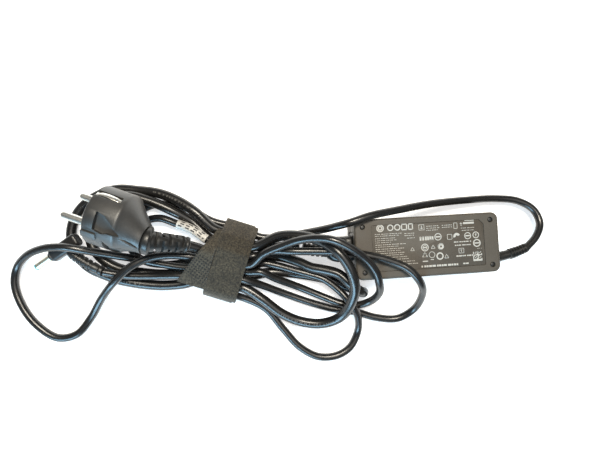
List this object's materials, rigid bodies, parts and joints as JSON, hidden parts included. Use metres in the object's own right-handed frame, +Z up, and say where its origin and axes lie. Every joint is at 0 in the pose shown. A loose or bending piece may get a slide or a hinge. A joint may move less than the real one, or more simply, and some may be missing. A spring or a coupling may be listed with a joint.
{
  "type": "laptop power adapter",
  "caption": "Rectangular laptop power brick with a pull-out earthed mains cord, a fixed DC cord with an angled barrel plug, and a strap round the coiled cords.",
  "frame": {"origin": "middle of the underside of the power brick", "axes": "+X along the brick's length towards the DC cord end, +Y across its width, +Z up from the underside to the label face"},
  "size_m": [0.3608, 0.1276, 0.0477],
  "materials": {
    "case_plastic": "fine spark-eroded grain, satin",
    "rating_label": "satin film in the colour of the case, printed in pale grey",
    "foot_rubber": "matt",
    "board_laminate": "solder-masked",
    "inlet_plastic": "satin",
    "connector_plastic": "satin, lightly grained",
    "relief_plastic": "satin",
    "contact_brass": "nickel-plated",
    "component_plastic": "moulded",
    "film_yellow": "moulded box",
    "disc_blue": "dipped coating",
    "ferrite": "sintered, matt",
    "winding_copper": "enamelled wire",
    "capacitor_can": "shrink-sleeved can",
    "sink_aluminium": "sheared sheet",
    "sheet_plastic": "film",
    "cord_jacket": "satin extruded jacket",
    "plug_plastic": "fine grain",
    "plated_metal": "nickel-plated",
    "tip_ring": "moulded",
    "dc_plug_plastic": "satin",
    "strap_weave": "brushed loop weave",
    "paper_sleeve": "printed paper film"
  },
  "bodies": {
    "base": {"bottom_shell": "case_plastic", "bridge_rectifier": "component_plastic", "bulk_capacitor": "capacitor_can", "circuit_board": "board_laminate", "cord_strap": "strap_weave", "cord_strap_tail": "strap_weave", "cord_wrap_label": "paper_sleeve", "dc_cord": "cord_jacket", "dc_cord_grommet": "relief_plastic", "dc_plug_barrel": "plated_metal", "dc_plug_body": "dc_plug_plastic", "dc_plug_centre_pin": "plated_metal", "dc_plug_insulator": "tip_ring", "dc_plug_strain_relief": "relief_plastic", "emi_choke": "ferrite", "fuse": "component_plastic", "inlet_housing": "inlet_plastic", "inlet_pin_earth": "contact_brass", "inlet_pin_line": "contact_brass", "inlet_pin_neutral": "contact_brass", "insulating_sheet": "sheet_plastic", "mains_cord": "cord_jacket", "mains_cord_flex": "cord_jacket", "optocoupler": "component_plastic", "output_capacitor_1": "capacitor_can", "output_capacitor_2": "capacitor_can", "output_choke": "winding_copper", "output_rectifier": "component_plastic", "plug_body": "plug_plastic", "plug_earth_clip_1": "plated_metal", "plug_earth_clip_2": "plated_metal", "plug_earth_socket_sleeve": "plated_metal", "plug_face_carrier": "plug_plastic", "plug_pin_1": "plated_metal", "plug_pin_2": "plated_metal", "plug_strain_relief": "plug_plastic", "primary_heat_sink": "sink_aluminium", "rating_label_plate": "rating_label", "rubber_foot_1": "foot_rubber", "rubber_foot_2": "foot_rubber", "rubber_foot_3": "foot_rubber", "rubber_foot_4": "foot_rubber", "secondary_heat_sink": "sink_aluminium", "switching_transistor": "component_plastic", "top_shell": "case_plastic", "transformer_core": "ferrite", "transformer_winding": "winding_copper", "x_capacitor": "film_yellow", "y_capacitor": "disc_blue"},
    "mains_connector": {"mains_connector_insert": "connector_plastic", "mains_connector_overmould": "connector_plastic", "connector_sleeve_line": "contact_brass", "connector_sleeve_neutral": "contact_brass", "connector_sleeve_earth": "contact_brass"}
  },
  "joints": [
    {"name": "mains_connector_slide", "type": "slide", "parent": "base", "child": "mains_connector", "axis": [-1, 0, 0], "range_m": [0, 0.01], "deforming": ["mains_cord_flex"]}
  ]
}
